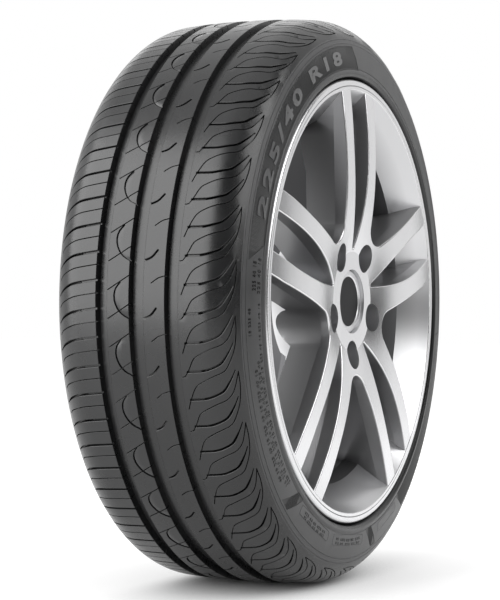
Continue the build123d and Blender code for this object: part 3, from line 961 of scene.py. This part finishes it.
# Colour mixed towards another by a share
def mixed(nodes, links, share, first, second):
    mix = nodes.new("ShaderNodeMix")
    mix.data_type = "RGBA"
    links.new(share, mix.inputs["Factor"])
    links.new(first, mix.inputs["A"])
    mix.inputs["B"].default_value = (*second, 1)
    return mix.outputs["Result"]


# Added roughness of the cast sides over the turned fronts, and the size and darkest share of the cloudy tone
SATIN = 0.11
ALLOY_CLOUD = 0.06
ALLOY_SHADE = 0.96

# Where painted shade comes in: the normal's share along the axle from fronts to flanks, and in metres
# the radius past the hub, and the place along the axle and the radius where it starts in the barrel
FLANK_LEAN = (-0.9, -0.55)
PAST_HUB = (0.076, 0.1)
BARREL_INWARD = (-0.1, -0.05)
BARREL_OUTWARD = (0.19, 0.2)


# Bright turned face, with painted shade on the spokes' flanks and darker painted shade deep in the barrel
def alloy_material(name, colour, flank_shade, barrel, roughness):
    material, nodes, links, shader = new_material(name)
    cloud = noise(nodes, links, ALLOY_CLOUD, FINE_DETAIL)
    dark = tuple(c * ALLOY_SHADE for c in colour)
    silver = shade_between(nodes, links, cloud.outputs["Fac"], dark, colour)
    place = nodes.new("ShaderNodeTexCoord")
    axes = nodes.new("ShaderNodeSeparateXYZ")
    normal = nodes.new("ShaderNodeSeparateXYZ")
    flat = nodes.new("ShaderNodeVectorMath")
    flat.operation = "MULTIPLY"
    flat.inputs[1].default_value = (1, 0, 1)
    radius = nodes.new("ShaderNodeVectorMath")
    radius.operation = "LENGTH"
    links.new(place.outputs["Object"], axes.inputs["Vector"])
    links.new(place.outputs["Normal"], normal.inputs["Vector"])
    links.new(place.outputs["Object"], flat.inputs[0])
    links.new(flat.outputs["Vector"], radius.inputs[0])
    aside = spread_between(nodes, links, normal.outputs["Y"], 0, 1, *FLANK_LEAN)
    past_hub = spread_between(nodes, links, radius.outputs["Value"], 0, 1, *PAST_HUB)
    inward = spread_between(nodes, links, axes.outputs["Y"], 0, 1, *BARREL_INWARD)
    outward = spread_between(nodes, links, radius.outputs["Value"], 0, 1, *BARREL_OUTWARD)
    # Painted shade: flanks that face aside, past the hub, are mixed towards the darker flank colour
    shaded_flanks = mixed(nodes, links, times(nodes, links, aside, past_hub), silver, flank_shade)
    # Painted shade: deep inside the barrel the colour is mixed towards near black
    finish = mixed(nodes, links, times(nodes, links, inward, outward), shaded_flanks, barrel)
    links.new(finish, shader.inputs["Base Color"])
    rough = spread_between(nodes, links, aside, roughness, roughness + SATIN, 0, 1)
    links.new(rough, shader.inputs["Roughness"])
    shader.inputs["Metallic"].default_value = 1.0
    return material


# Plastic and turned metal: size of their grain in metres, its height on plastic, and their darkest shares
FINE_GRAIN = 0.0008
GRAIN_HEIGHT = 0.00001
PLASTIC_SHADE = 0.92
TURNED_SHADE = 0.8

# How much smoother and rougher turned metal gets
TURNED_SMOOTHER = 0.04
TURNED_ROUGHER = 0.06


# Moulded plastic with a faint grain
def plastic_material(name, colour, roughness, metallic=0.0, gloss=0.5):
    material, nodes, links, shader = new_material(name)
    grain = noise(nodes, links, FINE_GRAIN, FINE_DETAIL)
    dark = tuple(c * PLASTIC_SHADE for c in colour)
    links.new(shade_between(nodes, links, grain.outputs["Fac"], dark, colour), shader.inputs["Base Color"])
    smooth, rough = roughness - ROUGH_SPREAD, roughness + ROUGH_SPREAD
    links.new(spread_between(nodes, links, grain.outputs["Fac"], smooth, rough), shader.inputs["Roughness"])
    links.new(bump(nodes, links, grain.outputs["Fac"], GRAIN_HEIGHT), shader.inputs["Normal"])
    shader.inputs["Metallic"].default_value = metallic
    shader.inputs["Specular IOR Level"].default_value = gloss
    return material


# Turned metal, such as the valve's brass
def turned_material(name, colour, roughness):
    material, nodes, links, shader = new_material(name)
    streak = noise(nodes, links, FINE_GRAIN, FINE_DETAIL)
    dark = tuple(c * TURNED_SHADE for c in colour)
    links.new(shade_between(nodes, links, streak.outputs["Fac"], dark, colour), shader.inputs["Base Color"])
    smooth, rough = roughness - TURNED_SMOOTHER, roughness + TURNED_ROUGHER
    links.new(spread_between(nodes, links, streak.outputs["Fac"], smooth, rough), shader.inputs["Roughness"])
    shader.inputs["Metallic"].default_value = 1.0
    return material


# Points nearer than the first length are joined, and edges shorter than the second are closed, in metres
WELD = 0.00001
SLIVER = 0.000002

# Angles from which an edge shows as a corner
TYRE_SHARP = radians(25)
FIGURE_SHARP = radians(30)
LIP_SHARP = radians(40)


# New piece from places in metres and faces, with the number of each face's finish
def new_piece(name, verts, faces, finishes, materials, nodes, angle):
    mesh = bpy.data.meshes.new(name)
    mesh.from_pydata([tuple(v) for v in verts], [], [tuple(int(i) for i in f) for f in faces])
    mesh.polygons.foreach_set("material_index", [int(i) for i in finishes])
    finish_piece(name, mesh, materials, nodes, angle)


# Mesh cleaned, shaded, given its materials and tied to the frame, in place of CAD nodes where some are named
def finish_piece(name, mesh, materials, nodes, angle):
    work = bmesh.new()
    work.from_mesh(mesh)
    bmesh.ops.remove_doubles(work, verts=work.verts, dist=WELD)
    bmesh.ops.dissolve_degenerate(work, edges=work.edges, dist=SLIVER)
    loose = [v for v in work.verts if not v.link_faces]
    bmesh.ops.delete(work, geom=loose, context="VERTS")
    bmesh.ops.recalc_face_normals(work, faces=work.faces)
    for material in materials:
        mesh.materials.append(material)
    work.to_mesh(mesh)
    work.free()
    mesh.polygons.foreach_set("use_smooth", [True] * len(mesh.polygons))
    mesh.set_sharp_from_angle(angle=angle)
    piece = bpy.data.objects.new(name, mesh)
    bpy.context.scene.collection.objects.link(piece)
    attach(piece, "root")
    if nodes:
        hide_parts(*nodes)


# Added roughness of the sidewall's rubber and of the panels in it
WALL_ROUGHER = 0.1
PANEL_ROUGHER = 0.16


class TYREWHEEL_OT_tyre(bpy.types.Operator):
    """Build the tyre with its tread pattern, sidewalls, beads and casing"""

    bl_idname = "tyrewheel.build_tyre"
    bl_label = "Tyre"

    def execute(self, context):
        tyre = context.scene.tyrewheel_tyre
        verts, faces, finishes = [], [], []
        tread, wall = 0, 1
        ridge = OUTLINE.at_radius(RIDGE_MID[1])

        def join(points, polygons, finish):
            first = sum(len(v) for v in verts)
            verts.append(points)
            faces.extend(tuple(int(i) + first for i in polygon) for polygon in polygons)
            finishes.extend(np.broadcast_to(finish, len(polygons)))

        flat, depth, triangles, length = tread_unit(tyre)
        y, r = OUTLINE.place(flat[:, 0], depth)
        for unit in range(tyre.units):
            angle = pi + (flat[:, 1] / length + unit) * 2 * pi / tyre.units
            join(wheel_points(y, r, angle), triangles, tread)
        for side in (1, -1):
            flat, depth, triangles, in_panel = sidewall(tyre, side < 0)
            y, r = OUTLINE.place(flat[:, 0], depth)
            finish = np.where(flat[triangles].mean(1)[:, 0] > ridge, tread, wall + in_panel)
            join(wheel_points(side * y, r, np.radians(flat[:, 1] / WALL_MM)), triangles, finish)
            heel_height = tangent_height(HEEL_TOP, HEEL_END, (0, -1))
            heel = bulge_arc(HEEL_TOP, HEEL_END, heel_height, HEEL_POINTS)
            section = [RIDGE_FOOT, FLANGE_TOP, FLANGE_FOOT, *heel, TOE, BEAD_TOP, CASING_SIDE,
                       CASING_SHOULDER, CASING_CROWN, CASING_TOP]
            points, polygons = ring_grid([(side * a, b) for a, b in section], tyre.units * STEPS_ROUND)
            join(points, polygons, tread)
        materials = [
            rubber_material("tread_rubber", tyre.colour, tyre.roughness, tyre.tread_gloss),
            rubber_material("wall_rubber", tyre.wall_colour, tyre.roughness + WALL_ROUGHER, tyre.wall_gloss),
            rubber_material("panel_rubber", tyre.colour, tyre.roughness + PANEL_ROUGHER, tyre.tread_gloss),
        ]
        places = np.vstack(verts) * MM
        new_piece("tyre_body", places, faces, finishes, materials, ["tyre"], TYRE_SHARP)
        return {"FINISHED"}


# Rows of small plain figures: text, radius of their feet, height, middle and spread in degrees
SMALL_ROWS = (
    ("225 40 18", 272.6, 5.2, 174.7, 6.2),
    ("225 40 18", 264.0, 5.2, 174.5, 7.8),
    ("18 225 40", 280.4, 3.4, 184.4, 5.6),
    ("225 40 18 225 40 18", 263.4, 3.4, 187.0, 13.0),
    ("40 18 225 40 18 225 40 18 225 40 18", 274.6, 3.6, 208.5, 28.0),
    ("18 225 40 18 225 40 18 225 40 18 225 40", 269.2, 3.6, 209.0, 32.0),
    ("225 40 18 225 40 18 225 40 18 225 40 18", 263.8, 3.6, 210.0, 31.0),
    ("225 40 18 225 40", 269.4, 2.9, 243.6, 12.6),
    ("18 225 40 18 225", 264.8, 2.9, 243.6, 12.6),
    ("40 18 225 40 18", 269.8, 2.9, 264.8, 15.0),
    ("225 40 18 225 40", 265.2, 2.9, 264.8, 15.0),
)

# Row of large figures: radius of their feet, and middle and spread in degrees
FIGURE_FOOT = 265.5
FIGURE_MIDDLE = 131
FIGURE_SPREAD = 62

# How much bolder the strokes of the large and the small figures are drawn
FIGURE_WEIGHT = 0.75
SMALL_WEIGHT = 0.1

# Type: a figure's height as a share of its size, its spacing, steps of its curves, and half its thickness
TYPE_SHARE = 0.7
TYPE_SPACING = 1.3
TYPE_STEPS = 3
TYPE_HALF = 0.5

# How deep the figures' feet stand in the wall
FIGURE_SINK = 0.1


# Raised figures along an arc of the outer sidewall, on ground that is sunk by a depth
def raised_row(text, foot, height, middle, spread, ground, relief, weight):
    curve = bpy.data.curves.new("figures", "FONT")
    curve.body = text
    curve.size = height / TYPE_SHARE
    curve.offset = weight
    curve.extrude = TYPE_HALF
    curve.align_x = "CENTER"
    curve.space_character = TYPE_SPACING
    curve.resolution_u = TYPE_STEPS
    carrier = bpy.data.objects.new("figures", curve)
    bpy.context.scene.collection.objects.link(carrier)
    bpy.context.view_layer.update()
    evaluated = carrier.evaluated_get(bpy.context.evaluated_depsgraph_get())
    mesh = bpy.data.meshes.new_from_object(evaluated)
    bpy.data.objects.remove(carrier)
    co = np.array([tuple(v.co) for v in mesh.vertices])
    width = co[:, 0].max() - co[:, 0].min()
    angle = np.radians(middle - co[:, 0] / width * spread)
    depth = ground + FIGURE_SINK - (co[:, 2] + TYPE_HALF) * (relief + FIGURE_SINK)
    y, r = OUTLINE.place(OUTLINE.at_radius(foot + co[:, 1]), depth)
    mesh.vertices.foreach_set("co", (wheel_points(-y, r, angle) * MM).ravel())
    mesh.materials.clear()
    return mesh


class TYREWHEEL_OT_figures(bpy.types.Operator):
    """Raise plain size figures and rows of small ones on the outer sidewall"""

    bl_idname = "tyrewheel.build_figures"
    bl_label = "Sidewall Figures"

    def execute(self, context):
        figures = context.scene.tyrewheel_figures
        tyre = context.scene.tyrewheel_tyre
        light = rubber_material("figure_rubber", figures.colour, tyre.roughness, tyre.wall_gloss)
        dark = rubber_material("small_figure_rubber", tyre.colour, tyre.roughness, tyre.tread_gloss)
        panel = tyre.panel_depth / MM
        height = figures.height / MM
        relief = figures.relief / MM
        row = (figures.text, FIGURE_FOOT, height, FIGURE_MIDDLE, FIGURE_SPREAD)
        mesh = raised_row(*row, panel, relief, FIGURE_WEIGHT)
        finish_piece("sidewall_figures", mesh, [light], [], FIGURE_SHARP)
        for number, row in enumerate(SMALL_ROWS, 1):
            mesh = raised_row(*row, 0, figures.small_relief / MM, SMALL_WEIGHT)
            finish_piece("small_figures_%d" % number, mesh, [dark], [], FIGURE_SHARP)
        return {"FINISHED"}


# Finish on a piece whose shape comes from the solids
def dress(node, material):
    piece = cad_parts[node]
    if not piece.material_slots:
        raise RuntimeError("no material slot on " + node)
    for slot in piece.material_slots:
        slot.material = material


# Least agreement of a corner's normal with its triangle, on the level fronts and elsewhere
FRONT_LEAN = 0.97
SIDE_LEAN = 0.6


# The cast wheel's own triangles, whose stray corner normals are set to those of their triangles
def wheel_casting(material):
    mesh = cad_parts["alloy_wheel"].data.copy()
    normals = [corner.vector.copy() for corner in mesh.corner_normals]
    for face in mesh.polygons:
        least = FRONT_LEAN if face.normal.y < -FRONT_LEAN else SIDE_LEAN
        for i in face.loop_indices:
            if normals[i].dot(face.normal) < least:
                normals[i] = face.normal.copy()
    mesh.normals_split_custom_set(normals)
    mesh.materials.clear()
    mesh.materials.append(material)
    piece = bpy.data.objects.new("wheel_casting", mesh)
    bpy.context.scene.collection.objects.link(piece)
    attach(piece, "root")
    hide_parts("alloy_wheel")


# Round front corner of a rim flange: its centre as distance across and radius, its own radius,
# and how near its ring comes to that centre
LIP_CENTRE = (107.8, 244.7)
LIP_ROUND = 3.63
LIP_INSET = 1.0

# Steps over the corner, and steps round the wheel
LIP_STEPS = 12
LIP_COUNT = 544


# Closed rings that give both flanges a smooth round corner
def rim_lips(material):
    turns = np.radians(np.linspace(0, 90, LIP_STEPS + 1))
    across, radius = LIP_CENTRE
    arc = [(across + LIP_ROUND * cos(a), radius + LIP_ROUND * sin(a)) for a in turns]
    section = arc + [(across, radius + LIP_INSET), (across + LIP_INSET, radius), arc[0]]
    verts, faces = [], []
    for side in (1, -1):
        points, polygons = ring_grid([(side * a, b) for a, b in section], LIP_COUNT)
        first = sum(len(v) for v in verts)
        verts.append(points)
        faces.extend(tuple(i + first for i in polygon) for polygon in polygons)
    finishes = [0] * len(faces)
    places = np.vstack(verts) * MM
    new_piece("rim_lips", places, faces, finishes, [material], [], LIP_SHARP)


class TYREWHEEL_OT_wheel(bpy.types.Operator):
    """Finish the cast wheel and round its two flanges"""

    bl_idname = "tyrewheel.build_wheel"
    bl_label = "Alloy Wheel"

    def execute(self, context):
        wheel = context.scene.tyrewheel_wheel
        colours = (wheel.alloy, wheel.flank_shade, wheel.barrel)
        silver = alloy_material("silver_alloy", *colours, wheel.alloy_roughness)
        wheel_casting(silver)
        rim_lips(silver)
        return {"FINISHED"}


# Roughness of the cap's ring, its metallic share, and the plate's roughness and gloss
CAP_ROUGHNESS = 0.3
CAP_METAL = 0.8
PLATE_ROUGHNESS = 0.5
PLATE_GLOSS = 0.15

# Roughness of spring steel and brass, and of the valve's rubber and dust cap
METAL_ROUGHNESS = 0.3
VALVE_RUBBER_ROUGHNESS = 0.55
VALVE_CAP_ROUGHNESS = 0.45


class TYREWHEEL_OT_cap(bpy.types.Operator):
    """Finish the centre cap, its plate and its spring ring"""

    bl_idname = "tyrewheel.build_cap"
    bl_label = "Centre Cap"

    def execute(self, context):
        wheel = context.scene.tyrewheel_wheel
        silver = plastic_material("cap_silver", wheel.cap_silver, CAP_ROUGHNESS, metallic=CAP_METAL)
        dark = plastic_material("cap_dark", wheel.cap_dark, PLATE_ROUGHNESS, gloss=PLATE_GLOSS)
        dress("centre_cap", silver)
        dress("cap_disc", dark)
        dress("cap_spring_ring", turned_material("spring_steel", wheel.spring_steel, METAL_ROUGHNESS))
        return {"FINISHED"}


class TYREWHEEL_OT_valve(bpy.types.Operator):
    """Finish the valve's rubber, stem, core and dust cap"""

    bl_idname = "tyrewheel.build_valve"
    bl_label = "Valve"

    def execute(self, context):
        wheel = context.scene.tyrewheel_wheel
        brass = turned_material("valve_brass", wheel.brass, METAL_ROUGHNESS)
        dress("valve_rubber", rubber_material("valve_rubber", wheel.valve_rubber, VALVE_RUBBER_ROUGHNESS))
        dress("valve_stem", brass)
        dress("valve_core", brass)
        dress("valve_cap", plastic_material("valve_black", wheel.valve_cap, VALVE_CAP_ROUGHNESS))
        return {"FINISHED"}


# Soft boxes at the tread's side, at the sidewall and behind: name, place and size as angles in degrees
SOFT_BOXES = (
    ("tread_box", 147, 24, 68, 62),
    ("side_box", 272, 34, 46, 40),
    ("back_box", 26, 24, 50, 26),
)
LAMP_DISTANCE = 2.6


# Soft box lamp that looks at the origin, placed and sized by angles in degrees
def soft_box(name, azimuth, elevation, wide, tall, radiance):
    light = bpy.data.lights.new(name, "AREA")
    light.shape = "RECTANGLE"
    light.size = 2 * LAMP_DISTANCE * tan(radians(wide / 2))
    light.size_y = 2 * LAMP_DISTANCE * tan(radians(tall / 2))
    light.energy = radiance * light.size * light.size_y * pi
    lamp = bpy.data.objects.new(name, light)
    turn, rise = radians(azimuth), radians(elevation)
    level = cos(rise)
    place = Vector((cos(turn) * level, sin(turn) * level, sin(rise))) * LAMP_DISTANCE
    lamp.location = place
    lamp.rotation_euler = place.to_track_quat("Z", "Y").to_euler()
    lamp.visible_camera = False
    bpy.context.scene.collection.objects.link(lamp)


# One for a ray from the camera, off a glossy surface or through glass, otherwise nothing
def seen_rays(nodes, links):
    path = nodes.new("ShaderNodeLightPath")
    either = path.outputs["Is Camera Ray"]
    for name in ("Is Glossy Ray", "Is Transmission Ray"):
        larger = nodes.new("ShaderNodeMath")
        larger.operation = "MAXIMUM"
        links.new(either, larger.inputs[0])
        links.new(path.outputs[name], larger.inputs[1])
        either = larger.outputs["Value"]
    return either


# Dim cards that the object mirrors: name, first and last azimuth, and top elevation in degrees
CARDS = (("front_card", 176, 322, 62), ("back_card", -10, 50, 24))
CARD_DISTANCE = 3.1
CARD_STEPS = 24
CARD_GREY = (0.05, 0.05, 0.05, 1)

# Roughness of the cards and the floor
MATT = 0.9


# Curved dim card that stands round the origin between two azimuths, and that the camera doesn't see
def dim_card(name, first, last, top):
    height = CARD_DISTANCE * tan(radians(top))
    verts, faces = [], []
    for i in range(CARD_STEPS + 1):
        angle = radians(first + (last - first) * i / CARD_STEPS)
        for z in (CAD_BOX[0][2], height):
            verts.append((CARD_DISTANCE * cos(angle), CARD_DISTANCE * sin(angle), z))
    for i in range(CARD_STEPS):
        faces.append((2 * i, 2 * i + 1, 2 * i + 3, 2 * i + 2))
    mesh = bpy.data.meshes.new(name)
    mesh.from_pydata(verts, [], faces)
    material, _, _, shader = new_material(name)
    shader.inputs["Base Color"].default_value = CARD_GREY
    shader.inputs["Roughness"].default_value = MATT
    mesh.materials.append(material)
    card = bpy.data.objects.new(name, mesh)
    card.visible_camera = False
    card.visible_shadow = False
    bpy.context.scene.collection.objects.link(card)


# Width of the camera's sensor in millimetres
SENSOR_WIDTH = 36

# Background's white, and the strength of the dim light that the room gives
WHITE = (1, 1, 1, 1)
ROOM_LIGHT = 0.15

# Floor: half its side in metres, its own grey, and the samples and reach in metres of the shadow on it
FLOOR_REACH = 12.0
FLOOR_GREY = (0.45, 0.45, 0.45, 1)
SHADE_SAMPLES = 8
SHADE_REACH = 0.8


class TYREWHEEL_OT_stage(bpy.types.Operator):
    """Set the camera, lamps, cards, floor and pale background"""

    bl_idname = "tyrewheel.build_stage"
    bl_label = "Stage"

    def execute(self, context):
        stage = context.scene.tyrewheel_stage
        scene = context.scene
        scene.view_settings.view_transform = "Standard"
        back = Vector((sin(stage.azimuth), -cos(stage.azimuth), 0))
        right = Vector((cos(stage.azimuth), sin(stage.azimuth), 0))
        up = Vector((0, 0, 1))
        camera_data = bpy.data.cameras.new("camera")
        camera_data.lens = stage.lens
        camera_data.sensor_width = SENSOR_WIDTH
        camera = bpy.data.objects.new("camera", camera_data)
        turn = Matrix((right, up, back)).transposed() @ Matrix.Rotation(stage.roll, 3, "Z")
        place = right * stage.slide + up * stage.lift + back * stage.distance
        camera.matrix_world = Matrix.Translation(place) @ turn.to_4x4()
        scene.collection.objects.link(camera)
        scene.camera = camera
        for box, radiance in zip(SOFT_BOXES, (stage.key, stage.side, stage.back)):
            soft_box(*box, radiance)
        for card in CARDS:
            dim_card(*card)
        self.background(scene)
        self.floor()
        return {"FINISHED"}

    def background(self, scene):
        """White to the camera and in reflections, with a dim light for the rest"""
        world = bpy.data.worlds.new("studio")
        world.use_nodes = True
        scene.world = world
        nodes, links = world.node_tree.nodes, world.node_tree.links
        nodes.clear()
        white = nodes.new("ShaderNodeBackground")
        white.inputs["Color"].default_value = WHITE
        room = nodes.new("ShaderNodeBackground")
        room.inputs["Color"].default_value = WHITE
        room.inputs["Strength"].default_value = ROOM_LIGHT
        mix = nodes.new("ShaderNodeMixShader")
        output = nodes.new("ShaderNodeOutputWorld")
        links.new(seen_rays(nodes, links), mix.inputs["Fac"])
        links.new(room.outputs["Background"], mix.inputs[1])
        links.new(white.outputs["Background"], mix.inputs[2])
        links.new(mix.outputs["Shader"], output.inputs["Surface"])

    def floor(self):
        """Pale floor under the tread, white to the camera but for a soft shadow where the tyre stands"""
        level = CAD_BOX[0][2]
        mesh = bpy.data.meshes.new("floor")
        corners = ((-1, -1), (1, -1), (1, 1), (-1, 1))
        places = [(x * FLOOR_REACH, y * FLOOR_REACH, level) for x, y in corners]
        mesh.from_pydata(places, [], [(0, 1, 2, 3)])
        material, nodes, links, shader = new_material("pale_floor")
        shader.inputs["Base Color"].default_value = FLOOR_GREY
        shader.inputs["Roughness"].default_value = MATT
        shader.inputs["Specular IOR Level"].default_value = 0.0
        shade = nodes.new("ShaderNodeAmbientOcclusion")
        shade.samples = SHADE_SAMPLES
        shade.inputs["Distance"].default_value = SHADE_REACH
        shader.inputs["Emission Color"].default_value = WHITE
        glow = times(nodes, links, seen_rays(nodes, links), shade.outputs["AO"])
        links.new(glow, shader.inputs["Emission Strength"])
        mesh.materials.append(material)
        floor = bpy.data.objects.new("floor", mesh)
        bpy.context.scene.collection.objects.link(floor)


class TYREWHEEL_PT_sidebar(bpy.types.Panel):
    """Lists the pieces and their settings"""

    bl_idname = "TYREWHEEL_PT_sidebar"
    bl_label = "Tyre on Alloy Wheel"
    bl_space_type = "VIEW_3D"
    bl_region_type = "UI"
    bl_category = "Tyre"

    def draw(self, context):
        for name, group in GROUPS.items():
            box = self.layout.box()
            settings = getattr(context.scene, name)
            for key in group.__annotations__:
                box.prop(settings, key)
        for operator in OPERATORS:
            self.layout.operator(operator.bl_idname)


GROUPS = {
    "tyrewheel_tyre": TyreSettings,
    "tyrewheel_figures": FigureSettings,
    "tyrewheel_wheel": WheelSettings,
    "tyrewheel_stage": StageSettings,
}
OPERATORS = (
    TYREWHEEL_OT_tyre,
    TYREWHEEL_OT_figures,
    TYREWHEEL_OT_wheel,
    TYREWHEEL_OT_cap,
    TYREWHEEL_OT_valve,
    TYREWHEEL_OT_stage,
)
CLASSES = (*GROUPS.values(), *OPERATORS, TYREWHEEL_PT_sidebar)


def register():
    for cls in CLASSES:
        bpy.utils.register_class(cls)
    for name, group in GROUPS.items():
        setattr(bpy.types.Scene, name, PointerProperty(type=group))


def unregister():
    for name in GROUPS:
        delattr(bpy.types.Scene, name)
    for cls in reversed(CLASSES):
        bpy.utils.unregister_class(cls)


def main():
    register()
    bpy.ops.tyrewheel.build_tyre()
    bpy.ops.tyrewheel.build_figures()
    bpy.ops.tyrewheel.build_wheel()
    bpy.ops.tyrewheel.build_cap()
    bpy.ops.tyrewheel.build_valve()
    bpy.ops.tyrewheel.build_stage()


if __name__ == "__main__":
    main()
